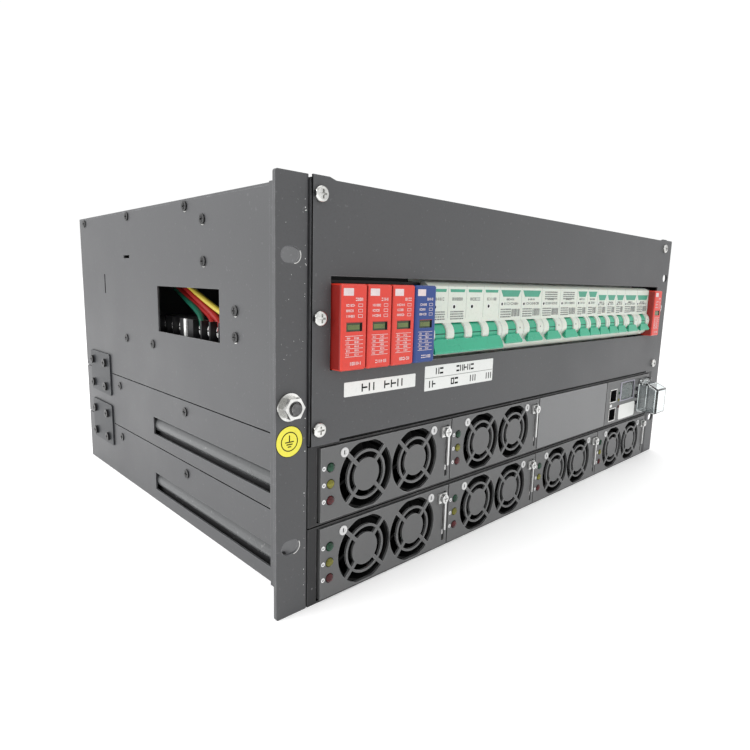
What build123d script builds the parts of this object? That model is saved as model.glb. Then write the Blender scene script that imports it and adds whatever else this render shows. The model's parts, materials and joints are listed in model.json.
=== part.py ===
from build123d import *
import os

# Telecom DC power subrack, 5U high, for a 19-inch rack: a 3U distribution unit with a row of
# DIN-rail devices above two 1U shelves of plug-in rectifiers, held together by two rack ears.
# Millimetres. +X is to the right, +Y to the back, +Z up, seen from the front of the rack.
# While it is modelled, Y = 0 is the plane of the ears' front faces, X = 0 the middle and Z = 0
# the base. Every part is exported moved along Y, so that the origin is the centre of the base.

# Rack standard
U = 44.45
UNIT_GAP = 0.8
RACK_UNITS = 5
RACK_WIDTH = 482.6
SLOT_SPACING_X = 465.1
SLOT_SPACING_Z = 146.1
SLOT_CENTRE_Z = 110.75
SLOT_WIDTH = 7.5
SLOT_LENGTH = 11.0

# Overall body
HEIGHT = RACK_UNITS * U - UNIT_GAP
DEPTH = 348.0
BODY_HALF = 221.7
SHEET = 1.2
FIT = 0.05
SHELF_HEIGHT = U - UNIT_GAP
SHELF_LEVELS = (0.0, U)
DIST_LOW = 2 * U
COVER_PROUD = 20.0
MID_Y = (DEPTH - COVER_PROUD) / 2

# Rack ears and joining plates
EAR_SHEET = 2.0
EAR_LEG = 32.0
EAR_BEND = 1.9
PLATE_SHEET = 1.5
PLATE_Y = (283.3, 332.0)
PLATE_Z = ((23.5, 59.7), (68.5, 104.7))

# Front panel of the distribution unit
PANEL_FRONT = -2.0
PANEL_SHEET = 1.2
PANEL_BACK = PANEL_FRONT + PANEL_SHEET
PANEL_HALF = 221.3
PANEL_TOP = 220.2
PANEL_LOW = 90.2
OPENING_HALF = 210.0
OPENING_Z = (127.1, 174.6)
PANEL_SCREW_X = 217.0
PANEL_SCREW_Z = (97.3, 153.8, 212.7)

# Cut-outs in the distribution unit
SIDE_CUTOUT_Y = (90.0, 180.5)
SIDE_CUTOUT_Z = (133.0, 165.5)
REAR_ENTRY_X = (40.0, 190.0)
REAR_ENTRY_Z = (125.0, 175.0)
BUSBAR_SLOT = (146.0, 209.0, 302.0, 311.0)
TERMINAL_Y = (115.5, 128.0, 140.5, 171.5, 184.0, 196.5)

# Row of DIN-rail devices
ROW_LEFT = -209.5
ROW_MID_Z = 150.85
NOSE_HALF = 22.4
BODY_HALF_Z = 42.0
SHOULDER_Y = 14.0
RAIL_Y = 62.0
DEVICE_BACK_Y = 66.0
SPD_FRONT = -9.5
SPD_WIDTH = 18.0
SPD_Z = (127.4, 171.0)
MCB_FACE = -3.0
DEVICE_GAP = 0.1
NARROW = 18.0
WIDE = 27.0
POLE = 18.0
MAIN_POLES = 4
DC_BREAKER_WIDTHS = (WIDE, WIDE, WIDE, WIDE, NARROW, NARROW, NARROW, NARROW, NARROW, WIDE, WIDE)
AC_SPD_COUNT = 4

# Breaker toggles: all turn about one line along X
TOGGLE_Y = 2.25
TOGGLE_Z = 142.0
CHEEK_R = 8.4
DRUM_R = 7.6
DRUM_BORE_R = 8.6
DRUM_WIDTH = 10.2
DRUM_SLOT = 10.8

# Rectifier and controller modules
BAY_PITCH = 107.4
BAY_LEFT = -2 * BAY_PITCH
MODULE_GAP = 1.2
MODULE_WIDTH = BAY_PITCH - MODULE_GAP
MODULE_LOW = 1.45
MODULE_HIGH = 42.05
MODULE_FACE = -1.0
FACE_SHEET = 1.5
MODULE_SHEET = 1.0
MODULE_BACK = 284.0
FAN_OFFSETS = (32.55, 72.75)
FAN_Z = 21.4
FAN_SIZE = 40.0
FAN_FRONT = 0.7
FAN_DEPTH = 20.0
LED_OFFSET = 6.55
LED_HEIGHTS = (12.35, 21.5, 30.65)
LATCH_OFFSET = 102.65
LATCH_PIVOT_Y = 4.0
LATCH_PIVOT_Z = 8.5
BLANK_X = (0.9, 117.8)
CONTROLLER_X = (119.0, 214.8)
CONTROLLER_BACK = 180.0
BUTTON_X = 186.0
BUTTON_HEIGHTS = (14.8, 21.9, 29.0)
COVER_X = (190.5, 213.5)
COVER_Z = (5.0, 34.3)
COVER_SHELL = 1.6
COVER_SLOPE = (9.0, 4.3)
HINGE_Y = -3.2
HINGE_Z = U + 37.0
HINGE_PIN_R = 1.2
LUG_WIDTH = 3.0

# Screws in the side walls, as (Y, Z), the same on both sides
COVER_SCREWS = ((132.7, 217.0), (232.6, 217.0), (334.2, 217.0))
BRACKET_SCREWS = ((71.0, 153.6), (71.0, 138.2))
WALL_SCREWS = ((108.8, 207.6), (108.8, 182.2), (191.3, 122.8), (243.2, 122.8))
SHELF_SCREWS = ((140.6, 36.2), (264.0, 35.8))
EAR_SCREWS = ((18.0, 22.0), (18.0, 66.5), (18.0, 125.0), (18.0, 195.0))
PLATE_SCREW_Y = (294.5, 325.5)
PLATE_SCREW_Z = ((29.9, 51.0), (75.3, 96.3))
SCREW_R = 1.9
SCREW_HOLE_R = 2.0
SHANK_IN = 5.0

# Ground stud through the left ear, with a flanged nut whose bore is countersunk at the front
STUD_X = -233.8
STUD_Z = 111.1
STUD_R = 3.0
STUD_TIP = -7.8
NUT_FRONT = -6.0
NUT_SINK_R = 3.8
WASHER_FRONT = -1.4

PARTS = {}


def box(x0, x1, y0, y1, z0, z1):
    centre = Pos((x0 + x1) / 2, (y0 + y1) / 2, (z0 + z1) / 2)
    return centre * Box(x1 - x0, y1 - y0, z1 - z0)


def rod_x(x0, x1, y, z, r):
    return Pos((x0 + x1) / 2, y, z) * Rot(0, 90, 0) * Cylinder(r, x1 - x0)


def rod_y(x, y0, y1, z, r):
    return Pos(x, (y0 + y1) / 2, z) * Rot(90, 0, 0) * Cylinder(r, y1 - y0)


def prism_x(points, x0, x1):
    # The points are (Y, Z) pairs.
    face = Plane.YZ.offset(x0) * Polygon(*points, align=None)
    return extrude(face, amount=x1 - x0, dir=(1, 0, 0))


def prism_y(points, y_back, length):
    # The points are (X, Z) pairs, and the prism runs forwards from y_back.
    face = Plane.XZ.offset(-y_back) * Polygon(*points, align=None)
    return extrude(face, amount=length, dir=(0, -1, 0))


def mirrored(shape):
    return mirror(shape, about=Plane.YZ)


def plate_screws():
    return [(y, z) for pair in PLATE_SCREW_Z for z in pair for y in PLATE_SCREW_Y]


def shelf_screws():
    return [(y, z + level) for level in SHELF_LEVELS for y, z in SHELF_SCREWS]


def drill_sides(shape, places):
    reach = BODY_HALF + 4
    inner = BODY_HALF - SHANK_IN - 1
    for y, z in places:
        hole = rod_x(inner, reach, y, z, SCREW_HOLE_R)
        shape -= hole
        shape -= mirrored(hole)
    return shape


def side_screw(y, z, seat, head_r, head_height):
    head = rod_x(seat, seat + head_height, y, z, head_r)
    screw = head + rod_x(BODY_HALF - SHANK_IN, seat, y, z, SCREW_R)
    outside = seat + head_height
    screw -= box(outside - 0.8, outside + 1, y - 0.5, y + 0.5, z - 2.1, z + 2.1)
    screw -= box(outside - 0.8, outside + 1, y - 2.1, y + 2.1, z - 0.5, z + 0.5)
    return screw


def panel_screw(x, z):
    head_front = PANEL_FRONT - 2.4
    head = rod_y(x, head_front, PANEL_FRONT, z, 4.0)
    head = fillet(head.edges().filter_by(GeomType.CIRCLE).group_by(Axis.Y)[0], 1.4)
    screw = head + rod_y(x, PANEL_FRONT, 5.0, z, SCREW_R)
    screw -= box(x - 0.5, x + 0.5, head_front - 1, head_front + 1.2, z - 2.2, z + 2.2)
    screw -= box(x - 2.2, x + 2.2, head_front - 1, head_front + 1.2, z - 0.5, z + 0.5)
    return screw


def fasteners():
    screws = [panel_screw(side * PANEL_SCREW_X, z) for side in (-1, 1) for z in PANEL_SCREW_Z]
    flush = list(COVER_SCREWS) + list(BRACKET_SCREWS) + list(WALL_SCREWS) + shelf_screws()
    right = [side_screw(y, z, BODY_HALF, 3.2, 1.0) for y, z in flush]
    right += [side_screw(y, z, BODY_HALF + PLATE_SHEET, 3.6, 2.0) for y, z in plate_screws()]
    right += [side_screw(y, z, BODY_HALF + EAR_SHEET, 3.6, 2.0) for y, z in EAR_SCREWS]
    return screws + right + [mirrored(screw) for screw in right]


# Sheet metal of the distribution unit

def chassis_top():
    return HEIGHT - SHEET - FIT


def distribution_chassis():
    top = chassis_top()
    inner = BODY_HALF - SHEET
    shell = box(-BODY_HALF, BODY_HALF, PANEL_BACK, DEPTH, DIST_LOW, top)
    shell -= box(-inner, inner, PANEL_BACK - 1, DEPTH - SHEET, DIST_LOW + SHEET, top + 1)
    for side in (-1, 1):
        flange_x = sorted((side * (BODY_HALF - 11.0), side * inner))
        shell += box(*flange_x, PANEL_BACK, PANEL_BACK + SHEET, DIST_LOW, top)
        wall_x = sorted((side * (inner - 1), side * (BODY_HALF + 1)))
        shell -= box(*wall_x, 231.0, 243.0, 185.6, 188.0)
        shell -= box(*wall_x, 287.3, 289.7, 157.0, 173.0)
    shell -= box(-BODY_HALF - 1, 1 - inner, *SIDE_CUTOUT_Y, *SIDE_CUTOUT_Z)
    shell -= box(*REAR_ENTRY_X, DEPTH - 2 * SHEET, DEPTH + 1, *REAR_ENTRY_Z)
    x0, x1, y0, y1 = BUSBAR_SLOT
    shell -= box(x0, x1, y0, y1, DIST_LOW - 1, DIST_LOW + SHEET + 1)
    for x in (-PANEL_SCREW_X, PANEL_SCREW_X):
        for z in PANEL_SCREW_Z:
            shell -= rod_y(x, PANEL_BACK - 1, PANEL_BACK + 3, z, SCREW_HOLE_R)
    places = list(COVER_SCREWS) + list(BRACKET_SCREWS) + list(WALL_SCREWS)
    places += [place for place in plate_screws() + list(EAR_SCREWS) if place[1] > DIST_LOW]
    return drill_sides(shell, places)


def top_cover():
    inner = BODY_HALF - SHEET - FIT
    cover = box(-BODY_HALF, BODY_HALF, 11.0, DEPTH, HEIGHT - SHEET, HEIGHT)
    for side in (-1, 1):
        flange_x = sorted((side * inner, side * (inner - SHEET)))
        cover += box(*flange_x, 13.0, DEPTH - 4, HEIGHT - 10, HEIGHT - SHEET)
    for row in range(3):
        for column in range(12):
            x = (column - 5.5) * 26.0
            y = 270.0 + row * 14.0
            slot = box(x - 9.0, x + 9.0, y - 2.0, y + 2.0, HEIGHT - 2 * SHEET, HEIGHT + 1)
            cover -= slot
    return drill_sides(cover, COVER_SCREWS)


def front_panel():
    outline = [(-PANEL_HALF, DIST_LOW), (-203.0, DIST_LOW), (-203.0, PANEL_LOW)]
    outline += [(203.0, PANEL_LOW), (203.0, DIST_LOW), (PANEL_HALF, DIST_LOW)]
    outline += [(PANEL_HALF, HEIGHT), (211.4, HEIGHT), (207.3, PANEL_TOP)]
    outline += [(-207.3, PANEL_TOP), (-211.4, HEIGHT), (-PANEL_HALF, HEIGHT)]
    panel = prism_y(outline, PANEL_BACK, PANEL_SHEET)
    panel += box(-202.0, 202.0, PANEL_BACK, 8.0, PANEL_LOW, PANEL_LOW + SHEET)
    panel += box(-207.0, 207.0, PANEL_BACK, 10.0, PANEL_TOP - SHEET, PANEL_TOP)
    panel -= box(-OPENING_HALF, OPENING_HALF, PANEL_FRONT - 1, PANEL_BACK + 1, *OPENING_Z)
    for x in (-PANEL_SCREW_X, PANEL_SCREW_X):
        for z in PANEL_SCREW_Z:
            panel -= rod_y(x, PANEL_FRONT - 1, PANEL_BACK + 1, z, SCREW_HOLE_R + 0.2)
    return panel


# Rack ears, ground stud and joining plates

def slot_places():
    offset = SLOT_SPACING_Z / 2
    return (SLOT_CENTRE_Z - offset, SLOT_CENTRE_Z + offset)


def ear_right():
    ear = box(BODY_HALF, RACK_WIDTH / 2, 0, EAR_SHEET, 0, HEIGHT)
    ear += box(BODY_HALF, BODY_HALF + EAR_SHEET, 0, EAR_LEG, 0, HEIGHT)
    bend = ear.edges().filter_by(Axis.Z).sort_by_distance((BODY_HALF, 0, HEIGHT / 2))[0]
    ear = fillet(bend, EAR_BEND)
    corners = ear.edges().filter_by(Axis.Y).group_by(Axis.X)[-1]
    ear = fillet(corners, 1.5)
    half_run = (SLOT_LENGTH - SLOT_WIDTH) / 2
    for z in slot_places():
        x = SLOT_SPACING_X / 2
        ear -= box(x - half_run, x + half_run, -1, 3, z - SLOT_WIDTH / 2, z + SLOT_WIDTH / 2)
        for end in (-half_run, half_run):
            ear -= rod_y(x + end, -1, 3, z, SLOT_WIDTH / 2)
    for y, z in EAR_SCREWS:
        ear -= rod_x(BODY_HALF - 1, BODY_HALF + 3, y, z, SCREW_HOLE_R)
    return ear


def ear_left():
    return mirrored(ear_right()) - rod_y(STUD_X, -1, 3, STUD_Z, STUD_R + FIT)


def ground_stud():
    stud = rod_y(STUD_X, STUD_TIP, EAR_SHEET, STUD_Z, STUD_R)
    stud = chamfer(stud.edges().filter_by(GeomType.CIRCLE).group_by(Axis.Y)[0], 0.5)
    stud += rod_y(STUD_X, EAR_SHEET, 2 * EAR_SHEET, STUD_Z, 5.5)
    outline = Pos(STUD_X, STUD_Z) * RegularPolygon(5.0, 6, major_radius=False)
    nut = extrude(Plane.XZ.offset(-WASHER_FRONT) * outline, amount=WASHER_FRONT - NUT_FRONT)
    nut += rod_y(STUD_X, WASHER_FRONT, 0, STUD_Z, 7.0)
    nut -= rod_y(STUD_X, NUT_FRONT - 1, 1, STUD_Z, STUD_R + FIT)
    nut -= rod_y(STUD_X, NUT_FRONT - 1, NUT_FRONT + 0.6, STUD_Z, NUT_SINK_R)
    return [stud, nut]


def joining_plates():
    plates = []
    for low, high in PLATE_Z:
        plate = box(BODY_HALF, BODY_HALF + PLATE_SHEET, *PLATE_Y, low, high)
        plate = fillet(plate.edges().filter_by(Axis.X), 2.0)
        for y, z in plate_screws():
            plate -= rod_x(BODY_HALF - 1, BODY_HALF + 3, y, z, SCREW_HOLE_R)
        plates += [plate, mirrored(plate)]
    return plates


# Rectifier shelves

def shelf(level):
    top = level + SHELF_HEIGHT
    wall = BODY_HALF - SHEET
    liner_out = 217.0
    liner_in = 216.0
    room_low = level + SHEET
    room_high = top - 1.0
    body = box(-BODY_HALF, BODY_HALF, 0, DEPTH, level, top)
    body -= box(-liner_in, liner_in, -1, DEPTH - SHEET, room_low, room_high)
    for side in (-1, 1):
        channel_x = sorted((side * liner_out, side * wall))
        body -= box(*channel_x, SHEET, DEPTH - SHEET, room_low, room_high)
        rail = rod_y(side * 213.8, 3.0, 300.0, level + 15.4, 6.5)
        body += rail & box(*sorted((side * liner_out, side * 220.4)), 3.0, 300.0, level, top)
        wall_x = sorted((side * wall, side * (BODY_HALF + 1)))
        body -= box(*wall_x, 34.0, 196.0, level + 8.8, level + 22.2)
    for column in range(8):
        x = (column - 3.5) * 53.6
        body -= box(x - 22, x + 22, DEPTH - 2 * SHEET, DEPTH + 1, level + 8, level + 36)
    x0, x1, y0, y1 = BUSBAR_SLOT
    slot_low = level - 1 if level > 0 else level + SHEET + 1
    body -= box(x0, x1, y0, y1, slot_low, top + 1)
    places = [place for place in shelf_screws() + plate_screws() + list(EAR_SCREWS)
              if level < place[1] < top]
    return drill_sides(body, places)


def blank_panel():
    low = U + MODULE_LOW
    high = U + MODULE_HIGH
    x0, x1 = BLANK_X
    panel = box(x0, x1, MODULE_FACE, 30.0, low, high)
    panel -= box(x0 - 1, x1 + 1, MODULE_FACE + SHEET, 31.0, low + SHEET, high - SHEET)
    return panel


# Row of DIN-rail devices

def row_places():
    left = ROW_LEFT
    places = {"ac_spd": left}
    left += AC_SPD_COUNT * SPD_WIDTH
    places["main"] = left
    left += MAIN_POLES * POLE
    places["dc"] = []
    for width in DC_BREAKER_WIDTHS:
        places["dc"].append((left, width))
        left += width
    places["dc_spd"] = left
    return places


def din_rail():
    flange = 1.0
    half = [(0.0, 17.5), (0.0, 12.5), (6.5, 12.5)]
    half_behind = [(7.5, 13.5), (flange, 13.5), (flange, 17.5)]
    lower = [(y, -z) for y, z in reversed(half)] + [(y, -z) for y, z in reversed(half_behind)]
    points = [(RAIL_Y + y, ROW_MID_Z + z) for y, z in half + lower + half_behind]
    wall = BODY_HALF - SHEET
    rail = prism_x(points, -wall + FIT, wall - FIT)
    for side in (-1, 1):
        tab_x = sorted((side * (wall - FIT), side * (wall - FIT - SHEET)))
        rail += box(*tab_x, RAIL_Y + 6.5, 80.0, 133.0, 159.0)
    return drill_sides(rail, BRACKET_SCREWS)


def device_back():
    # The lower and upper hooks grip the rail's flanges.
    lip = DEVICE_BACK_Y - 1.8
    low = ROW_MID_Z - 17.8
    high = ROW_MID_Z + 17.8
    return [(DEVICE_BACK_Y, high - 2.6), (lip, high - 2.6), (lip, high), (RAIL_Y, high),
            (RAIL_Y, low), (lip, low), (lip, low + 2.6), (DEVICE_BACK_Y, low + 2.6)]


def breaker_profile():
    nose_low = ROW_MID_Z - NOSE_HALF
    nose_high = ROW_MID_Z + NOSE_HALF
    low = ROW_MID_Z - BODY_HALF_Z
    high = ROW_MID_Z + BODY_HALF_Z
    front = [(SHOULDER_Y, low), (SHOULDER_Y, nose_low), (0.5, nose_low), (MCB_FACE, nose_low + 3)]
    front += [(MCB_FACE, nose_high - 2.5), (1.0, nose_high), (SHOULDER_Y, nose_high)]
    return front + [(SHOULDER_Y, high), (DEVICE_BACK_Y, high)] + device_back() + [(DEVICE_BACK_Y, low)]


def breaker_body(left, width, poles):
    x0 = left + DEVICE_GAP
    x1 = left + width - DEVICE_GAP
    body = prism_x(breaker_profile(), x0, x1) + rod_x(x0, x1, TOGGLE_Y, TOGGLE_Z, CHEEK_R)
    pitch = width / poles
    for pole in range(poles):
        x = left + pitch * (pole + 0.5)
        half = DRUM_SLOT / 2
        body -= rod_x(x - half, x + half, TOGGLE_Y, TOGGLE_Z, DRUM_BORE_R)
        for z in (ROW_MID_Z - 32.0, ROW_MID_Z + 32.0):
            body -= rod_y(x, SHOULDER_Y - 1, SHOULDER_Y + 8, z, 2.8)
    return body


def toggle_blade(x, root_width, tip_width, profile):
    blade = prism_x([(TOGGLE_Y + y, TOGGLE_Z + z) for y, z in profile], x - 40, x + 40)
    lean = Plane(origin=(x, TOGGLE_Y, TOGGLE_Z), x_dir=(1, 0, 0), z_dir=(0, -0.6, 0.8))
    root = root_width / 2
    tip = tip_width / 2
    flare = Polygon((-root, -7), (root, -7), (root, -9.3), (tip, -12.2), (tip, -18), (-tip, -18),
                    (-tip, -12.2), (-root, -9.3), align=None)
    return blade & extrude(lean * flare, amount=8, both=True)


def toggle_drum(x):
    half = DRUM_WIDTH / 2
    drum = rod_x(x - half, x + half, TOGGLE_Y, TOGGLE_Z, DRUM_R)
    neck = [(-6.0, -1.5), (-8.9, -2.6), (-6.1, -6.9), (-4.0, -5.0)]
    return drum + prism_x([(TOGGLE_Y + y, TOGGLE_Z + z) for y, z in neck], x - half, x + half)


def single_toggle(left, width):
    x = left + width / 2
    root, tip = (15.0, 20.0) if width == WIDE else (13.0, 16.8)
    profile = [(-8.75, -2.5), (-10.68, -7.76), (-9.89, -8.75), (-5.85, -6.97)]
    return toggle_drum(x) + toggle_blade(x, root, tip, profile)


def main_toggle(left):
    middle = left + MAIN_POLES * POLE / 2
    profile = [(-8.75, -2.9), (-11.5, -10.0), (-10.6, -11.2), (-5.6, -7.2)]
    toggle = toggle_blade(middle, 68.0, 70.0, profile)
    for pole in range(MAIN_POLES):
        toggle += toggle_drum(left + POLE * (pole + 0.5))
    return toggle


def spd_base(left, poles):
    low = ROW_MID_Z - BODY_HALF_Z
    high = ROW_MID_Z + BODY_HALF_Z
    floor = SPD_Z[0] - 0.3
    roof = SPD_Z[1] + 0.3
    outline = [(SHOULDER_Y, low), (SHOULDER_Y, floor - 1.5), (4.0, floor - 1.5), (4.0, floor)]
    outline += [(36.0, floor), (36.0, roof), (4.0, roof), (4.0, roof + 1.5)]
    outline += [(SHOULDER_Y, roof + 1.5), (SHOULDER_Y, high), (DEVICE_BACK_Y, high)]
    outline += device_back() + [(DEVICE_BACK_Y, low)]
    base = prism_x(outline, left + DEVICE_GAP, left + poles * SPD_WIDTH - DEVICE_GAP)
    for pole in range(poles):
        x = left + SPD_WIDTH * (pole + 0.5)
        for z in (ROW_MID_Z - 12, ROW_MID_Z + 12):
            base -= box(x - 2, x + 2, 35.0, 46.0, z - 4.0, z + 4.0)
    return base


def spd_cartridge(left):
    x0 = left + 0.2
    x1 = left + SPD_WIDTH - 0.2
    cartridge = box(x0, x1, SPD_FRONT, 35.6, *SPD_Z)
    uprights = cartridge.edges().filter_by(Axis.Z).group_by(Axis.Y)[0]
    cartridge = fillet(uprights, 1.6)
    rims = cartridge.edges().filter_by(Axis.X).group_by(Axis.Y)[0]
    cartridge = chamfer(rims, 0.8)
    cartridge -= box(x0 + 3.4, x0 + 14.2, SPD_FRONT - 1, SPD_FRONT + 0.8, 147.2, 151.7)
    middle = left + SPD_WIDTH / 2
    for z in (ROW_MID_Z - 12, ROW_MID_Z + 12):
        cartridge += box(middle - 0.8, middle + 0.8, 35.6, 44.0, z - 3.0, z + 3.0)
    return cartridge


# Wiring side of the distribution unit and the shelves

def terminal_block():
    floor = DIST_LOW + SHEET
    block = box(-212.0, -190.0, 109.0, 203.0, floor, 143.5)
    link = box(-213.2, -212.0, 154.5, 157.5, 122.0, 143.5)
    screws = []
    for y in TERMINAL_Y:
        block -= box(-213.0, -205.0, y - 5.2, y + 5.2, 130.5, 144.5)
        screw = rod_x(-208.5, -205.0, y, 136.6, 3.8)
        screws.append(screw - box(-209.5, -207.5, y - 5, y + 5, 136.1, 137.1))
    return [block, link] + screws


def dc_busbars():
    bars = []
    for x0, x1 in ((150.0, 175.0), (180.0, 205.0)):
        bar = box(x0, x1, 305.0, 308.0, 10.0, 206.0)
        bar += box(x0, x1, 75.0, 308.0, 203.0, 206.0)
        for level in SHELF_LEVELS:
            bar += box(x0 + 5, x1 - 5, 297.6, 305.0, level + 14, level + 30)
        bars.append(bar)
    bars[0] += box(-60.0, 175.0, 36.0, 78.0, 199.0, 203.0)
    return bars


def backplanes():
    pieces = []
    for level in SHELF_LEVELS:
        pieces.append(box(-215.9, 215.9, 296.0, 297.6, level + 4, level + 40))
        for bay in range(4):
            x = BAY_LEFT + BAY_PITCH * (bay + 0.5)
            pieces.append(box(x - 15, x + 15, 286.4, 296.0, level + 12, level + 30))
    return pieces


# Rectifier module with its fans and latch

def grille_cut(x, z):
    inner = Circle(13.0) - Circle(9.5)
    outer = (Circle(20.0) - Circle(14.4)) & Rectangle(42, 38.4)
    spokes = Rot(0, 0, 45) * Rectangle(50, 2.2)
    spokes += Rot(0, 0, 135) * Rectangle(50, 2.2)
    cuts = Plane.XZ.offset(3) * Pos(x, z) * (inner + outer - spokes)
    return [extrude(face, amount=-6) for face in cuts.faces()]


def rectifier_case(left, low_z):
    right = left + MODULE_WIDTH
    low = low_z + MODULE_LOW
    high = low_z + MODULE_HIGH
    case = box(left, right, MODULE_FACE, MODULE_BACK, low, high)
    case -= box(left + MODULE_SHEET, right - MODULE_SHEET, MODULE_FACE + FACE_SHEET,
                MODULE_BACK - MODULE_SHEET, low + MODULE_SHEET, high - MODULE_SHEET)
    for offset in FAN_OFFSETS:
        for cut in grille_cut(left + offset, low_z + FAN_Z):
            case -= cut
    for height in LED_HEIGHTS:
        case -= rod_y(left + LED_OFFSET, MODULE_FACE - 1, 2.0, low_z + height, 2.6)
    slot = left + LATCH_OFFSET
    case -= box(slot - 1.2, slot + 1.2, MODULE_FACE - 1, 2.0, low_z + 4.6, low_z + 38.8)
    case -= rod_y(slot - 3.4, MODULE_FACE - 1, 2.0, low_z + 35.0, 2.7)
    middle = left + MODULE_WIDTH / 2
    for window in (-34.0, 34.0):
        case -= box(middle + window - 15, middle + window + 15, MODULE_BACK - 3, MODULE_BACK + 1,
                    low + 8, high - 8)
    case += box(middle - 13, middle + 13, MODULE_BACK - FIT, MODULE_BACK + 2, low_z + 14, low_z + 28)
    return case


def fan_frame(x, z):
    back = FAN_FRONT + FAN_DEPTH
    half = FAN_SIZE / 2 - 0.05
    frame = box(x - half, x + half, FAN_FRONT, back, z - half + 1.2, z + half - 1.2)
    frame -= rod_y(x, FAN_FRONT - 1, back + 1, z, 18.6)
    hub = rod_y(x, back - 5, back, z, 8.0)
    hub += box(x - 19.2, x + 19.2, back - 2.5, back, z - 1.5, z + 1.5)
    hub += box(x - 1.5, x + 1.5, back - 2.5, back, z - 18.7, z + 18.7)
    return frame + hub - rod_y(x, back - 6, back + 1, z, 1.55)


def fan_rotor(x, z):
    front = FAN_FRONT + 2.0
    rotor = rod_y(x, front, front + 10, z, 9.6)
    rotor += rod_y(x, front + 10, FAN_FRONT + FAN_DEPTH - 1, z, 1.5)
    blade = Pos(13.2, 0, 0) * Rot(38, 0, 0) * Box(8.6, 11.0, 1.2)
    for turn in range(7):
        rotor += Pos(x, front + 5, z) * Rot(0, turn * 360 / 7, 0) * blade
    return rotor


def rectifier_board(left, low_z):
    low = low_z + 4.0
    board = box(left + 4, left + MODULE_WIDTH - 4, 30.0, MODULE_BACK - 4, low, low + 1.6)
    for x, width, length in ((16.0, 6.0, 205.0), (46.0, 22.0, 90.0), (84.0, 6.0, 205.0)):
        board += box(left + x, left + x + width, 45.0, 45.0 + length, low + 1.6, low_z + 36.0)
    return board


def rectifier(left, low_z):
    frames = [fan_frame(left + offset, low_z + FAN_Z) for offset in FAN_OFFSETS]
    return [rectifier_case(left, low_z)] + frames + [rectifier_board(left, low_z)]


def latch(left, low_z):
    x = left + LATCH_OFFSET
    half = 0.75
    foot = low_z + LATCH_PIVOT_Z
    lever = box(x - half, x + half, -2.6, 2.4, low_z + 12.0, low_z + 38.0)
    lever += rod_x(x - half, x + half, LATCH_PIVOT_Y, foot, 3.2)
    lever += box(x - half, x + half, -0.4, 6.4, foot, low_z + 14.0)
    tab = box(x - 6.6, x - half, -2.4, -1.2, low_z + 31.6, low_z + 38.0)
    screw_x = x - 3.4
    screw_z = low_z + 35.0
    lever += tab - rod_y(screw_x, -3, -1, screw_z, 1.75)
    screw = rod_y(screw_x, -5.0, -2.4, screw_z, 2.9) + rod_y(screw_x, -2.4, 0.6, screw_z, 1.7)
    screw -= box(screw_x - 2.0, screw_x + 2.0, -6, -4.1, screw_z - 0.4, screw_z + 0.4)
    screw -= box(screw_x - 0.4, screw_x + 0.4, -6, -4.1, screw_z - 2.0, screw_z + 2.0)
    return [lever, screw]


# Controller with its buttons and hinged clear cover

def controller_case():
    low = U + MODULE_LOW
    high = U + MODULE_HIGH
    x0, x1 = CONTROLLER_X
    case = box(x0, x1, MODULE_FACE, CONTROLLER_BACK, low, high)
    case -= box(x0 + MODULE_SHEET, x1 - MODULE_SHEET, MODULE_FACE + FACE_SHEET,
                CONTROLLER_BACK - MODULE_SHEET, low + MODULE_SHEET, high - MODULE_SHEET)
    for z in (U + 2.8, U + 20.8):
        socket = box(125.0, 141.0, MODULE_FACE + FACE_SHEET, 16.0, z, z + 14.4)
        case += socket
        case -= box(126.6, 139.4, MODULE_FACE - 1, 14.0, z + 1.6, z + 12.8)
    for height in (16.0, 22.6, 29.2):
        case -= rod_y(146.0, MODULE_FACE - 1, 2.0, U + height, 1.6)
    case -= box(150.0, 178.0, MODULE_FACE - 1, MODULE_FACE + 1.0, U + 21.6, U + 38.6)
    for height in BUTTON_HEIGHTS:
        case -= rod_y(BUTTON_X, MODULE_FACE - 1, 2.0, U + height, 2.05)
    for x in (COVER_X[0], COVER_X[1] - LUG_WIDTH):
        case += box(x, x + LUG_WIDTH, HINGE_Y - 1.4, MODULE_FACE, HINGE_Z - 1.8, HINGE_Z + 1.8)
    return case - rod_x(COVER_X[0] - 1, COVER_X[1] + 1, HINGE_Y, HINGE_Z, HINGE_PIN_R + FIT)


def controller_button(height):
    z = U + height
    return rod_y(BUTTON_X, MODULE_FACE - 1.4, 1.4, z, 2.0) + rod_y(BUTTON_X, 1.4, 2.6, z, 3.0)


def cover_prism(shell, back):
    # A box with its upper front edge sloped off, shrunk by the shell on every side.
    x0, x1 = COVER_X
    low = U + COVER_Z[0] + shell
    high = U + COVER_Z[1] - shell
    front = shell - COVER_PROUD
    run, drop = COVER_SLOPE
    profile = [(front, low), (back, low), (back, high), (front + run, high), (front, high - drop)]
    return prism_x(profile, x0 + shell, x1 - shell)


def controller_cover():
    x0, x1 = COVER_X
    back = MODULE_FACE - 0.4
    high = U + COVER_Z[1]
    outside = cover_prism(0, back)
    rims = outside.faces().sort_by(Axis.Y)[-1].edges()
    kept = [edge for edge in outside.edges() if not any(edge.is_same(rim) for rim in rims)]
    cover = fillet(kept, 1.8) - cover_prism(COVER_SHELL, back + 1)
    web = LUG_WIDTH + 0.4
    cover += box(x0 + web, x1 - web, HINGE_Y - 0.9, HINGE_Y + 0.9, high - 0.8, HINGE_Z)
    return cover + rod_x(x0, x1, HINGE_Y, HINGE_Z, HINGE_PIN_R)


def save(name, shapes):
    pieces = shapes if isinstance(shapes, list) else [shapes]
    moved = [Pos(0, -MID_Y, 0) * piece for piece in pieces]
    PARTS[name] = moved[0] if len(moved) == 1 else Compound(children=moved)


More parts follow.
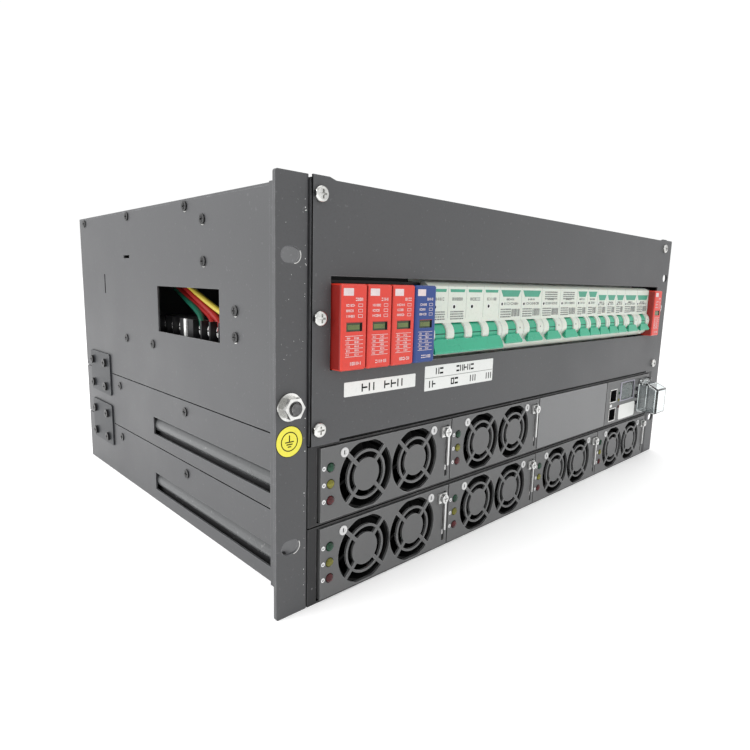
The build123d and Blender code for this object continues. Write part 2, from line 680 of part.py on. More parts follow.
def build():
    row = row_places()
    save("distribution_chassis", distribution_chassis())
    save("top_cover", top_cover())
    save("front_panel", front_panel())
    save("ear_right", ear_right())
    save("ear_left", ear_left())
    save("ground_stud", ground_stud())
    save("joining_plates", joining_plates())
    save("fasteners", fasteners())
    save("shelf_lower", shelf(SHELF_LEVELS[0]))
    save("shelf_upper", shelf(SHELF_LEVELS[1]))
    save("blank_panel", blank_panel())
    save("din_rail", din_rail())
    save("spd_bases", [spd_base(row["ac_spd"], AC_SPD_COUNT), spd_base(row["dc_spd"], 1)])
    red_places = [row["ac_spd"] + SPD_WIDTH * column for column in range(3)] + [row["dc_spd"]]
    save("spd_cartridges_red", [spd_cartridge(left) for left in red_places])
    save("spd_cartridge_blue", spd_cartridge(row["ac_spd"] + 3 * SPD_WIDTH))
    bodies = [breaker_body(row["main"], MAIN_POLES * POLE, MAIN_POLES)]
    bodies += [breaker_body(left, width, 1) for left, width in row["dc"]]
    save("breaker_bodies", bodies)
    save("main_toggle", main_toggle(row["main"]))
    for number, (left, width) in enumerate(row["dc"], 1):
        save(f"dc_toggle_{number:02d}", single_toggle(left, width))
    save("terminal_block", terminal_block())
    save("dc_busbars", dc_busbars())
    save("backplanes", backplanes())
    bays = [(bay, SHELF_LEVELS[1]) for bay in range(2)] + [(bay, SHELF_LEVELS[0]) for bay in range(4)]
    for number, (bay, level) in enumerate(bays, 1):
        left = BAY_LEFT + BAY_PITCH * bay + MODULE_GAP / 2
        save(f"rectifier_{number}", rectifier(left, level))
        save(f"latch_{number}", latch(left, level))
        for side, offset in zip("ab", FAN_OFFSETS):
            save(f"fan_rotor_{number}{side}", fan_rotor(left + offset, level + FAN_Z))
    save("controller_case", controller_case())
    for number, height in enumerate(BUTTON_HEIGHTS, 1):
        save(f"controller_button_{number}", controller_button(height))
    save("controller_cover", controller_cover())


build()
os.makedirs("parts", exist_ok=True)
for name, shape in PARTS.items():
    export_step(shape, f"parts/{name}.step")
print(len(PARTS), "nodes written")
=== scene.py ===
import json
import math
import random

import bmesh
import bpy
from mathutils import Matrix, Vector


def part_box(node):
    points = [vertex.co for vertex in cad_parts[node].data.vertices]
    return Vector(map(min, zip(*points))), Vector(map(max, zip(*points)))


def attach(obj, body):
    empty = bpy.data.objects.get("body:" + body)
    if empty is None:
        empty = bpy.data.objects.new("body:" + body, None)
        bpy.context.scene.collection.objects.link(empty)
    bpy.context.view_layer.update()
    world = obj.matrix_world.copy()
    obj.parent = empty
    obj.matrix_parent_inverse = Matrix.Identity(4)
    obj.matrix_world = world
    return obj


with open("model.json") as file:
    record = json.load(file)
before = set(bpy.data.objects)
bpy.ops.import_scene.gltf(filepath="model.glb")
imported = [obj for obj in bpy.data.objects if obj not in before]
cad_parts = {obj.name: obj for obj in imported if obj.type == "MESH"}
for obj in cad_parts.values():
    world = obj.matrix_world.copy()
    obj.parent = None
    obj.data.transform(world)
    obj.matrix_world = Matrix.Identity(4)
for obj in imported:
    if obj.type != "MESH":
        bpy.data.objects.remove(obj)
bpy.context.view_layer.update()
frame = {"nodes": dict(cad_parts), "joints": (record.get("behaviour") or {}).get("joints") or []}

# Looks of a 5U telecom power subrack. Lengths are metres in the row frame: +X right, +Y back,
# +Z up. Small sizes are written in millimetres and multiplied by MM.
MM = 0.001
JOINTS = {joint["name"]: joint for joint in frame["joints"]}
NODES = frame["nodes"]
RECTIFIERS = range(1, 7)
DC_BREAKERS = range(1, 12)
CHASSIS = "chassis"
RNG = random.Random(11)
SHARP_ANGLE = math.radians(35)

# Millimetres that the CAD model and the added pieces share
UNIT = 44.45
WIDE = 27.0
NARROW = 18.0
DC_BREAKER_WIDTHS = (WIDE,) * 4 + (NARROW,) * 5 + (WIDE,) * 2
MAIN_POLES = 4
POLE = 18.0
CARTRIDGE_PITCH = 18.0
CARTRIDGE_WIDTH = 17.6
TOGGLE_FROM_EAR = 2.25
FACE_TO_TOGGLE = 5.25
TOGGLE_Z = 142.0
DRUM_R = 7.6
DRUM_HALF = 5.0
CHEEK_R = 8.4
CHEEK_EDGE = 5.8
MODULE_LOW = 1.45
LUG_PROUD = 3.6
LED_OFFSET = 6.55
LED_HEIGHTS = ((12.35, "led_red"), (21.5, "led_yellow"), (30.65, "led_green"))
TERMINAL_Z = 136.6
TERMINAL_OFFSETS = (6.5, 19.0, 31.5, 62.5, 75.0, 87.5)
PRINT_PROUD = 0.06


# Materials

def node_of(mat, kind, **inputs):
    node = mat.node_tree.nodes.new(kind)
    for name, value in inputs.items():
        node.inputs[name.replace("_", " ")].default_value = value
    return node


def noise(mat, coords, scale, detail=3.0, stretch=(1.0, 1.0, 1.0)):
    """A noise texture in object coordinates, with its features 1/scale metres across."""
    mapping = node_of(mat, "ShaderNodeMapping")
    mapping.inputs["Scale"].default_value = stretch
    mat.node_tree.links.new(coords.outputs["Object"], mapping.inputs["Vector"])
    texture = node_of(mat, "ShaderNodeTexNoise", Scale=scale, Detail=detail)
    mat.node_tree.links.new(mapping.outputs["Vector"], texture.inputs["Vector"])
    return texture.outputs["Fac"]


def remap(mat, value, low, high, out_low, out_high):
    ranged = node_of(mat, "ShaderNodeMapRange")
    for name, number in (("From Min", low), ("From Max", high), ("To Min", out_low), ("To Max", out_high)):
        ranged.inputs[name].default_value = number
    mat.node_tree.links.new(value, ranged.inputs["Value"])
    return ranged.outputs["Result"]


def mix_colour(mat, factor, first, second):
    """first and second are colours or sockets."""
    mixer = node_of(mat, "ShaderNodeMix")
    mixer.data_type = "RGBA"
    mat.node_tree.links.new(factor, mixer.inputs["Factor"])
    for socket, value in ((mixer.inputs[6], first), (mixer.inputs[7], second)):
        if isinstance(value, bpy.types.NodeSocket):
            mat.node_tree.links.new(value, socket)
        else:
            socket.default_value = (*value, 1.0)
    return mixer.outputs[2]


def shaded(colour, share):
    return tuple(channel * share for channel in colour)


def surface(name, colour, rough, metallic=0.0, shade=0.85, blotch=14.0, grain=900.0, relief=0.03,
            rough_spread=0.06, stretch=(1.0, 1.0, 1.0), speck=None, wear_and_edge_highlight=None, **fixed):
    """A procedural finish: broad colour shifts, a fine grain in colour and bump, and edges lightened partly
    as wear and partly as a painted highlight.
    relief is the grain's height in millimetres. fixed sets the shader's own sockets."""
    mat = bpy.data.materials.new(name)
    mat.use_nodes = True
    links = mat.node_tree.links
    shader = mat.node_tree.nodes["Principled BSDF"]
    coords = node_of(mat, "ShaderNodeTexCoord")
    broad = noise(mat, coords, blotch, 4.0, stretch)
    fine = noise(mat, coords, grain, 2.0, stretch)
    tone = mix_colour(mat, remap(mat, broad, 0.3, 0.7, 0.0, 1.0), shaded(colour, shade), colour)
    dark = shaded(colour, shade * 0.86)
    tone = mix_colour(mat, remap(mat, fine, 0.52, 0.75, 0.0, 0.55), tone, dark)
    if speck:
        dots = noise(mat, coords, grain * 0.45, 1.0, stretch)
        tone = mix_colour(mat, remap(mat, dots, 0.70, 0.74, 0.0, 0.5), tone, speck)
    # Lighter colour along rounded edges from the bevel mask: partly paint wear, partly a painted highlight
    # where edges catch light.
    if wear_and_edge_highlight:
        rounded = node_of(mat, "ShaderNodeBevel", Radius=0.7 * MM)
        rounded.samples = 4
        geometry = node_of(mat, "ShaderNodeNewGeometry")
        dot = node_of(mat, "ShaderNodeVectorMath")
        dot.operation = "DOT_PRODUCT"
        links.new(rounded.outputs["Normal"], dot.inputs[0])
        links.new(geometry.outputs["Normal"], dot.inputs[1])
        edge = remap(mat, dot.outputs["Value"], 0.99, 0.80, 0.0, 1.0)
        patch = remap(mat, noise(mat, coords, 160.0, 4.0), 0.42, 0.66, 0.25, 1.0)
        product = node_of(mat, "ShaderNodeMath")
        product.operation = "MULTIPLY"
        links.new(edge, product.inputs[0])
        links.new(patch, product.inputs[1])
        tone = mix_colour(mat, product.outputs[0], tone, wear_and_edge_highlight)
    links.new(tone, shader.inputs["Base Color"])
    polish = remap(mat, broad, 0.3, 0.7, rough - rough_spread, rough + rough_spread)
    links.new(polish, shader.inputs["Roughness"])
    bump = node_of(mat, "ShaderNodeBump", Strength=0.6, Distance=relief * MM)
    links.new(fine, bump.inputs["Height"])
    links.new(bump.outputs["Normal"], shader.inputs["Normal"])
    shader.inputs["Metallic"].default_value = metallic
    for key, value in fixed.items():
        shader.inputs[key.replace("_", " ")].default_value = value
    return mat


def clear_plastic(name, colour, rough, shade=0.97):
    mat = surface(name, colour, rough, shade=shade, blotch=30.0, grain=300.0, relief=0.01,
                  rough_spread=0.02, IOR=1.49)
    mat.node_tree.nodes["Principled BSDF"].inputs["Transmission Weight"].default_value = 1.0
    return mat


def make_materials():
    return {
        "graphite": surface("graphite_powder_coat", (0.057, 0.058, 0.061), 0.46, relief=0.05,
                            grain=1100.0, shade=0.9, speck=(0.10, 0.10, 0.105), wear_and_edge_highlight=(0.16, 0.165, 0.17)),
        "edge": surface("speckled_edge", (0.022, 0.022, 0.023), 0.5, relief=0.06, grain=800.0,
                        speck=(0.2, 0.2, 0.2), wear_and_edge_highlight=(0.11, 0.11, 0.11), Specular_IOR_Level=0.3),
        "plate": surface("dark_powder_coat", (0.016, 0.018, 0.021), 0.44, relief=0.05, grain=1100.0,
                         wear_and_edge_highlight=(0.11, 0.115, 0.12), Specular_IOR_Level=0.4),
        "rail": surface("rolled_rail", (0.085, 0.088, 0.09), 0.30, relief=0.06, grain=700.0, shade=0.8,
                        speck=(0.2, 0.2, 0.2)),
        "module": surface("module_grey_paint", (0.098, 0.099, 0.10), 0.42, relief=0.03, grain=1300.0,
                          shade=0.92, wear_and_edge_highlight=(0.27, 0.27, 0.27)),
        "blank": surface("blank_grey_paint", (0.165, 0.167, 0.17), 0.42, relief=0.03, grain=1300.0,
                         shade=0.93, wear_and_edge_highlight=(0.3, 0.3, 0.3)),
        # Black for real black parts such as fan frames and rotors, and also painted shade on inner faces,
        # gaps and recesses.
        "inner": surface("black_and_painted_shade", (0.006, 0.006, 0.006), 0.6, relief=0.02, Specular_IOR_Level=0.1),
        "zinc": surface("bright_zinc", (0.72, 0.72, 0.70), 0.22, metallic=1.0, grain=700.0, relief=0.03,
                        blotch=160.0, shade=0.62),
        "stud": surface("stud_thread", (0.16, 0.16, 0.16), 0.35, metallic=0.8, grain=900.0, relief=0.08,
                        blotch=220.0, shade=0.5),
        # Bright screw metal with a slight emission: a painted glow standing for highlights.
        "terminal": surface("terminal_screw_painted_glow", (0.86, 0.86, 0.84), 0.28, metallic=0.5, grain=700.0,
                            relief=0.02, blotch=200.0, Emission_Color=(1.0, 1.0, 1.0, 1.0),
                            Emission_Strength=0.14),
        "black_zinc": surface("black_zinc", (0.010, 0.010, 0.011), 0.34, metallic=0.2, grain=700.0,
                              relief=0.02, blotch=160.0, wear_and_edge_highlight=(0.13, 0.13, 0.13)),
        "latch": surface("stamped_steel", (0.80, 0.80, 0.79), 0.3, metallic=0.95, blotch=140.0,
                         grain=260.0, stretch=(8.0, 8.0, 0.6), relief=0.015, shade=0.72),
        "copper": surface("bare_copper", (0.72, 0.36, 0.22), 0.3, metallic=1.0, blotch=35.0,
                          stretch=(1.0, 0.2, 1.0), shade=0.7),
        "breaker": surface("breaker_white", (0.58, 0.62, 0.55), 0.36, shade=0.95, grain=600.0, relief=0.02,
                           wear_and_edge_highlight=(0.66, 0.70, 0.64), Subsurface_Weight=0.08, Subsurface_Scale=0.002),
        "green": surface("toggle_green", (0.020, 0.36, 0.205), 0.3, shade=0.85, grain=500.0, relief=0.02,
                         wear_and_edge_highlight=(0.08, 0.5, 0.35)),
        "red": surface("surge_red", (0.62, 0.034, 0.018), 0.36, shade=0.93, grain=500.0, relief=0.02,
                       wear_and_edge_highlight=(0.78, 0.12, 0.09)),
        # Darker copy of the surge red, painted as shade on the cartridges' left sides and above their
        # windows.
        "red_painted_shade": surface("surge_red_painted_shade", (0.26, 0.012, 0.008), 0.42, shade=0.9, grain=500.0,
                             relief=0.02),
        "blue": surface("surge_blue", (0.006, 0.038, 0.20), 0.36, shade=0.93, grain=500.0, relief=0.02,
                        wear_and_edge_highlight=(0.05, 0.12, 0.36)),
        "black": surface("moulded_black", (0.008, 0.008, 0.009), 0.42, grain=600.0, relief=0.03,
                         Specular_IOR_Level=0.3),
        "rubber": surface("button_rubber", (0.012, 0.012, 0.018), 0.6, grain=900.0, relief=0.03),
        "board": surface("solder_mask", (0.02, 0.15, 0.06), 0.35, grain=240.0, relief=0.03,
                         speck=(0.55, 0.5, 0.3)),
        "clear": clear_plastic("clear_cover", (0.90, 0.94, 0.94), 0.05),
        "pane": surface("indicator_pane", (0.022, 0.045, 0.010), 0.16, blotch=120.0, shade=0.6),
        "flag": surface("indicator_flag", (0.11, 0.15, 0.035), 0.3, blotch=160.0, shade=0.7),
        "white_print": surface("white_print", (0.80, 0.80, 0.80), 0.5, grain=1500.0, blotch=200.0),
        "surge_print": surface("surge_print", (0.66, 0.56, 0.56), 0.5, grain=1500.0, blotch=200.0),
        "grey_print": surface("grey_print", (0.16, 0.165, 0.16), 0.55, grain=1500.0, blotch=200.0),
        "pale_print": surface("pale_print", (0.36, 0.38, 0.36), 0.5, grain=1500.0, blotch=200.0),
        "black_print": surface("black_print", (0.006, 0.006, 0.006), 0.6, grain=1500.0, blotch=200.0,
                               Specular_IOR_Level=0.1),
        "green_print": surface("green_print", (0.045, 0.29, 0.19), 0.42, grain=1500.0, blotch=200.0),
        "label": surface("label_white", (0.70, 0.71, 0.69), 0.42, shade=0.97, grain=1200.0, relief=0.015),
        "yellow": surface("label_yellow", (0.74, 0.68, 0.055), 0.35, shade=0.95, grain=1200.0,
                          relief=0.015),
        "rivet": surface("rivet_white", (0.62, 0.62, 0.62), 0.35, grain=900.0, blotch=200.0),
        "bezel": surface("display_bezel", (0.30, 0.29, 0.35), 0.4, grain=900.0, blotch=200.0),
        "led_green": surface("led_green", (0.001, 0.055, 0.022), 0.06, blotch=420.0, shade=0.25,
                             Specular_IOR_Level=0.35),
        "led_yellow": surface("led_yellow", (0.20, 0.19, 0.016), 0.06, blotch=420.0, shade=0.35,
                              Specular_IOR_Level=0.35),
        "led_red": surface("led_red", (0.085, 0.002, 0.005), 0.06, blotch=420.0, shade=0.3,
                           Specular_IOR_Level=0.35),
        "green_line": surface("green_shadow_line", (0.004, 0.06, 0.04), 0.4, blotch=200.0,
                              Specular_IOR_Level=0.2),
        "display": surface("display_glass", (0.006, 0.010, 0.008), 0.12, blotch=60.0, Coat_Weight=0.3),
        "wire_red": surface("wire_red", (0.30, 0.012, 0.012), 0.35, blotch=80.0),
        "wire_green": surface("wire_green", (0.006, 0.10, 0.06), 0.35, blotch=80.0),
        "wire_yellow": surface("wire_yellow", (0.55, 0.44, 0.06), 0.35, blotch=80.0),
        "floor": surface("pale_floor", (0.93, 0.93, 0.93), 0.6, shade=0.985, blotch=2.0, relief=0.01,
                         Emission_Color=(1.0, 1.0, 1.0, 1.0), Emission_Strength=0.22),
    }


FINISH = make_materials()


# Geometry of the added pieces

def rectangle(x0, x1, z0, z1):
    return [(x0, z0), (x1, z0), (x1, z1), (x0, z1)]


def rounded_outline(x0, x1, z0, z1, radius, steps=5):
    """Corners of a rounded rectangle as (x, z), counter-clockwise from the front."""
    points = []
    for cx, cz, start in ((x1 - radius, z0 + radius, -90), (x1 - radius, z1 - radius, 0),
                          (x0 + radius, z1 - radius, 90), (x0 + radius, z0 + radius, 180)):
        for step in range(steps + 1):
            angle = math.radians(start + 90 * step / steps)
            points.append((cx + radius * math.cos(angle), cz + radius * math.sin(angle)))
    return points


def circle_outline(x, z, radius, count=28):
    turns = [2 * math.pi * step / count for step in range(count)]
    return [(x + radius * math.cos(turn), z + radius * math.sin(turn)) for turn in turns]


class Solids:
    """Closed solids gathered into one piece. x, y and z are millimetres from origin, and y grows
    away from the viewer, so a raised mark runs from y 0 to a negative y. turn is the turn about Z
    in degrees: 0 faces the front, -90 the left side."""

    def __init__(self, origin, turn=0.0):
        self.mesh = bmesh.new()
        self.place = Matrix.Translation(origin) @ Matrix.Rotation(math.radians(turn), 4, "Z")
        self.finishes = []

    def vert(self, x, y, z):
        return self.mesh.verts.new(self.place @ (Vector((x, y, z)) * MM))

    def index(self, finish):
        if finish not in self.finishes:
            self.finishes.append(finish)
        return self.finishes.index(finish)

    def face(self, verts, finish):
        self.mesh.faces.new(verts).material_index = self.index(finish)

    def prism(self, outline, y_back, y_front, finish):
        back = [self.vert(x, y_back, z) for x, z in outline]
        front = [self.vert(x, y_front, z) for x, z in outline]
        self.face(front, finish)
        self.face(back[::-1], finish)
        for one, two in zip(range(len(outline)), [*range(1, len(outline)), 0]):
            self.face((front[two], front[one], back[one], back[two]), finish)

    def block(self, x0, x1, z0, z1, finish, y_back=0.0, y_front=-PRINT_PROUD):
        self.prism(rectangle(x0, x1, z0, z1), y_back, y_front, finish)

    def disc(self, x, z, radius, finish, y_back=0.0, y_front=-PRINT_PROUD, count=28):
        self.prism(circle_outline(x, z, radius, count), y_back, y_front, finish)

    def frame(self, outer, inner, y_back, y_front, finish):
        """A closed band between two outlines with the same number of corners."""
        rings = [[self.vert(x, y, z) for x, z in outline]
                 for outline, y in ((outer, y_back), (outer, y_front), (inner, y_front), (inner, y_back))]
        count = len(outer)
        for ring, following in zip(rings, rings[1:] + rings[:1]):
            for one in range(count):
                two = (one + 1) % count
                self.face((ring[one], ring[two], following[two], following[one]), finish)

    def ring(self, x, z, outer, inner, finish, y_back=0.0, y_front=-PRINT_PROUD, count=28):
        self.frame(circle_outline(x, z, outer, count), circle_outline(x, z, inner, count),
                   y_back, y_front, finish)

    def dome(self, x, z, radius, height, y_back, y_base, finish, rows=5, count=20):
        """A round lens: a short cylinder from y_back to y_base with a domed front."""
        rings = [[self.vert(px, y_back, pz) for px, pz in circle_outline(x, z, radius, count)]]
        for row in range(rows):
            angle = math.pi / 2 * row / rows
            ring = circle_outline(x, z, radius * math.cos(angle), count)
            rings.append([self.vert(px, y_base - height * math.sin(angle), pz) for px, pz in ring])
        self.face(rings[0][::-1], finish)
        for ring, following in zip(rings, rings[1:]):
            for one in range(count):
                two = (one + 1) % count
                self.face((ring[one], ring[two], following[two], following[one]), finish)
        tip = self.vert(x, y_base - height, z)
        for one in range(count):
            self.face((rings[-1][one], rings[-1][(one + 1) % count], tip), finish)

    def arc(self, x, z, inner, outer, start, end, finish, y_back=0.0, y_front=-PRINT_PROUD, count=10):
        """A flat crescent between two angles in degrees, anticlockwise from +x."""
        turns = [math.radians(start + (end - start) * step / count) for step in range(count + 1)]
        outline = [(x + outer * math.cos(turn), z + outer * math.sin(turn)) for turn in turns]
        outline += [(x + inner * math.cos(turn), z + inner * math.sin(turn)) for turn in turns[::-1]]
        self.prism(outline, y_back, y_front, finish)

    def hoop(self, x0, x1, y, z, inner, outer, start, end, finish, count=12):
        """A strip bent about a line along x. Angles are in degrees, upwards from the front."""
        turns = [math.radians(start + (end - start) * step / count) for step in range(count + 1)]
        outline = [(y - outer * math.cos(turn), z + outer * math.sin(turn)) for turn in turns]
        outline += [(y - inner * math.cos(turn), z + inner * math.sin(turn)) for turn in turns[::-1]]
        ends = [[self.vert(x, py, pz) for py, pz in outline] for x in (x0, x1)]
        self.face(ends[0], finish)
        self.face(ends[1][::-1], finish)
        for one, two in zip(range(len(outline)), [*range(1, len(outline)), 0]):
            self.face((ends[0][one], ends[0][two], ends[1][two], ends[1][one]), finish)

    def tube(self, points, radius, finish, count=12):
        """A round rod along a smoothed line of points, with closed ends."""
        path = [Vector(point) for point in points]
        for _ in range(3):
            cut = [path[0]]
            for one, two in zip(path, path[1:]):
                cut += [one.lerp(two, 0.25), one.lerp(two, 0.75)]
            path = cut + [path[-1]]
        rings = []
        side = Vector((0, 0, 1))
        for number, point in enumerate(path):
            along = (path[min(number + 1, len(path) - 1)] - path[max(number - 1, 0)]).normalized()
            side = (side - along * side.dot(along)).normalized()
            other = along.cross(side)
            turns = [2 * math.pi * step / count for step in range(count)]
            ring = [point + radius * (math.cos(turn) * side + math.sin(turn) * other) for turn in turns]
            rings.append([self.vert(*corner) for corner in ring])
        for ring, following in zip(rings, rings[1:]):
            for one in range(count):
                two = (one + 1) % count
                self.face((ring[one], ring[two], following[two], following[one]), finish)
        self.face(rings[0][::-1], finish)
        self.face(rings[-1], finish)

    def piece(self, name, body):
        bmesh.ops.recalc_face_normals(self.mesh, faces=self.mesh.faces)
        data = bpy.data.meshes.new(name)
        self.mesh.to_mesh(data)
        self.mesh.free()
        for finish in self.finishes:
            data.materials.append(FINISH[finish])
        data.shade_smooth()
        data.set_sharp_from_angle(angle=SHARP_ANGLE)
        made = bpy.data.objects.new(name, data)
        bpy.context.scene.collection.objects.link(made)
        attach(made, body)


def glyphs(solids, x0, x1, z, height, finish, width=None, gap=0.28, weight=0.2):
    """A row of abstract marks that stands for print: bars, frames and stacked blocks, no letters."""
    width = width or height * 0.62
    stroke = height * weight
    x = x0
    while x + width <= x1 + 1e-6:
        kind = RNG.choice(("bar", "stack", "frame", "corner", "pair"))
        low = z - height / 2
        high = z + height / 2
        if kind == "frame":
            outer = rectangle(x, x + width, low, high)
            inner = rectangle(x + stroke, x + width - stroke, low + stroke, high - stroke)
            solids.frame(outer, inner, 0.0, -PRINT_PROUD, finish)
        elif kind == "stack":
            solids.block(x, x + width, low, low + stroke * 1.4, finish)
            solids.block(x, x + width, high - stroke * 1.4, high, finish)
        elif kind == "corner":
            solids.block(x, x + stroke, low, high, finish)
            solids.block(x + stroke, x + width, z - stroke / 2, z + stroke / 2, finish)
        elif kind == "pair":
            solids.block(x, x + stroke, low, high, finish)
            solids.block(x + width - stroke, x + width, low, high, finish)
        else:
            solids.block(x + width / 2 - stroke / 2, x + width / 2 + stroke / 2, low, high, finish)
        x += width * (1 + gap)


def print_lines(solids, x0, x1, z0, z1, rows, finish, share=0.55):
    """Lines of fine print: each row is broken into short dashes."""
    pitch = (z1 - z0) / rows
    for row in range(rows):
        low = z0 + pitch * (row + (1 - share) / 2)
        x = x0
        while x < x1 - 0.3:
            length = min(RNG.uniform(0.5, 1.6), x1 - x)
            solids.block(x, x + length, low, low + pitch * share, finish)
            x += length + RNG.uniform(0.25, 0.45)


# Finishes of the CAD nodes

def paint(node, *finishes, rule=None):
    """Gives a CAD node its finishes. rule picks one for each face from its centre."""
    data = NODES[node].data
    data.materials.clear()
    for finish in finishes:
        data.materials.append(FINISH[finish])
    for polygon in data.polygons:
        polygon.material_index = rule(polygon.center) if rule else 0


def inside(point, low, high):
    return all(low[axis] <= point[axis] <= high[axis] for axis in range(3))


def dress_rectifier(number):
    """Module paint outside; black fan frames and a green board inside."""
    low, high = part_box(f"rectifier_{number}")
    wall = Vector((1.1, 1.6, 1.1)) * MM
    fan_end = low.y + 25.0 * MM
    back = Vector((high.x - wall.x, high.y - 4.0 * MM, high.z - wall.z))

    def rule(centre):
        if not inside(centre, low + wall, back):
            return 0
        return 1 if centre.y < fan_end else 2

    paint(f"rectifier_{number}", "module", "inner", "board", rule=rule)
    for side in "ab":
        paint(f"fan_rotor_{number}{side}", "inner")
    paint(f"latch_{number}", "latch")


def dress_shelf(node):
    """Graphite outside, black as painted shade inside and on top, with the speckled front edge and the
    bright side rail.
    """
    low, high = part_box(node)

    def rule(centre):
        across = abs(centre.x) / MM
        if centre.y > high.y - 0.1 * MM:
            return 0
        # Top faces and faces inside the shelf: black painted shade.
        if centre.z > high.z - 0.1 * MM or (across < 215.95 and centre.y > low.y + 0.3 * MM):
            return 2
        if 216.9 < across < 220.45 and low.y + 3.5 * MM < centre.y < low.y + 299.0 * MM:
            return 3 if across > 217.1 else 1
        if centre.y < low.y + 0.1 * MM and across < 221.6:
            return 1
        return 0

    paint(node, "graphite", "edge", "inner", "rail", rule=rule)


def dress_cartridges(node):
    low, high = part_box(node)
    lefts = [low.x + CARTRIDGE_PITCH * column * MM for column in range(3)]
    lefts.append(high.x - CARTRIDGE_WIDTH * MM)
    # The left side face of each cartridge takes the darker red as painted shade.
    paint(node, "red", "red_painted_shade", rule=lambda c: int(any(abs(c.x - left) < 0.3 * MM for left in lefts)))


def dress_terminals():
    """The link bar on the block's outer face and the screw heads in its wells are bright, and glow a little
    as a painted highlight.
    """
    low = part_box("terminal_block")[0]
    columns = [low.y + offset * MM for offset in TERMINAL_OFFSETS]

    def rule(centre):
        depth = (centre.x - low.x) / MM
        if depth < 1.15:
            return 1
        near = any(abs(centre.y - column) < 4.0 * MM for column in columns)
        return int(near and 4.6 < depth < 8.1 and abs(centre.z - TERMINAL_Z * MM) < 4.0 * MM)

    paint("terminal_block", "black", "terminal", rule=rule)


def dress_enclosure():
    for node in ("top_cover", "ear_right", "ear_left"):
        paint(node, "graphite")
    panel_low, panel_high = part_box("front_panel")
    # The panel's side edges and underside are black: painted shade for the gaps around the panel.
    paint("front_panel", "graphite", "inner",
          rule=lambda c: int(abs(c.x) > panel_high.x - 0.05 * MM or c.z < panel_low.z + 0.05 * MM))
    low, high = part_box("distribution_chassis")
    wall = 220.55 * MM
    back = low.y + 340 * MM
    # The chassis' underside and inner faces are black as painted shade.
    paint("distribution_chassis", "graphite", "inner",
          rule=lambda c: int(c.z < low.z + 0.1 * MM or (abs(c.x) < wall and c.y < back)))
    paint("joining_plates", "plate")
    for node in ("shelf_lower", "shelf_upper"):
        dress_shelf(node)
    paint("blank_panel", "blank")
    paint("fasteners", "zinc", "black_zinc", rule=lambda c: int(abs(c.x) > high.x - 1.0 * MM))


def dress_earth_stud():
    """The thread and the end of the stud are dull, and its flanged nut is bright."""
    low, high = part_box("ground_stud")
    axis = (low + high) / 2
    front = low.y + 2.6 * MM
    paint("ground_stud", "zinc", "stud",
          rule=lambda c: int(math.hypot(c.x - axis.x, c.z - axis.z) < 3.9 * MM and c.y < front))


def dress_distribution():
    paint("din_rail", "zinc")
    paint("spd_bases", "black")
    dress_cartridges("spd_cartridges_red")
    paint("spd_cartridge_blue", "blue")
    paint("breaker_bodies", "breaker")
    paint("main_toggle", "green")
    for number in DC_BREAKERS:
        paint(f"dc_toggle_{number:02d}", "green")
    dress_terminals()
    paint("dc_busbars", "copper")
    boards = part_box("backplanes")[1].y - 1.7 * MM
    paint("backplanes", "board", "black", rule=lambda c: int(c.y < boards))


def dress_controller():
    """Module paint, with the two sockets black inside."""
    case_low, case_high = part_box("controller_case")
    low = case_low + Vector((6.5, 4.0, 1.0)) * MM
    high = Vector((low.x + 15.0 * MM, low.y + 17.0 * MM, case_high.z - 1.2 * MM))
    paint("controller_case", "module", "black", rule=lambda c: int(inside(c, low, high)))
    for number in (1, 2, 3):
        paint(f"controller_button_{number}", "rubber")
    paint("controller_cover", "clear")


# Labels, prints, lenses and other small pieces. x and z are millimetres from the middle of the base.

def front_plane(node, back=0.0):
    """A point on the X = 0, Z = 0 line of a node's front plane, moved back by some millimetres."""
    return Vector((0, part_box(node)[0].y + back * MM, 0))


def add_panel_labels():
    label = Solids(front_plane("front_panel"))
    for x0, x1, z0, z1 in ((-200.3, -145.3, 112.0, 119.8), (-137.0, -67.3, 107.9, 123.1)):
        label.prism(rounded_outline(x0, x1, z0, z1, 0.5, 3), 0.0, -0.12, "label")
    label.piece("panel_labels", CHASSIS)
    marks = Solids(front_plane("front_panel", -0.12))
    glyphs(marks, -188.0, -176.0, 115.9, 4.4, "black_print", width=4.2, gap=0.25)
    glyphs(marks, -171.0, -153.5, 115.9, 4.4, "black_print", width=4.2, gap=0.25)
    glyphs(marks, -127.0, -119.0, 119.5, 4.0, "black_print", width=3.2, gap=0.2)
    glyphs(marks, -107.0, -86.5, 119.5, 4.0, "black_print", width=3.0, gap=0.25)
    for x in (-134.0, -112.0, -93.5, -76.0):
        glyphs(marks, x, x + 7.2, 111.8, 4.2, "black_print", width=3.2, gap=0.2)
    marks.block(-136.6, -67.7, 115.5, 115.8, "grey_print")
    marks.piece("panel_label_marks", CHASSIS)


def add_earth_label():
    """A yellow disc with an earth sign, stuck on the front plane of the ears."""
    x = -233.3
    z = 93.5
    label = Solids(Vector((0, JOINTS["main_toggle_swing"]["pos_m"][1] - TOGGLE_FROM_EAR * MM, 0)))
    label.disc(x, z, 7.8, "yellow", 0.0, -0.1, 40)
    label.ring(x, z, 8.0, 7.7, "black_print", 0.0, -0.12, 40)
    label.ring(x, z, 5.0, 4.5, "black_print", -0.04, -0.16, 40)
    label.block(x - 0.3, x + 0.3, z, z + 3.2, "black_print", -0.04, -0.16)
    for step, half in enumerate((2.6, 1.8, 1.0)):
        low = z - 0.5 - 1.2 * step
        label.block(x - half, x + half, low, low + 0.55, "black_print", -0.04, -0.16)
    label.piece("earth_label", CHASSIS)


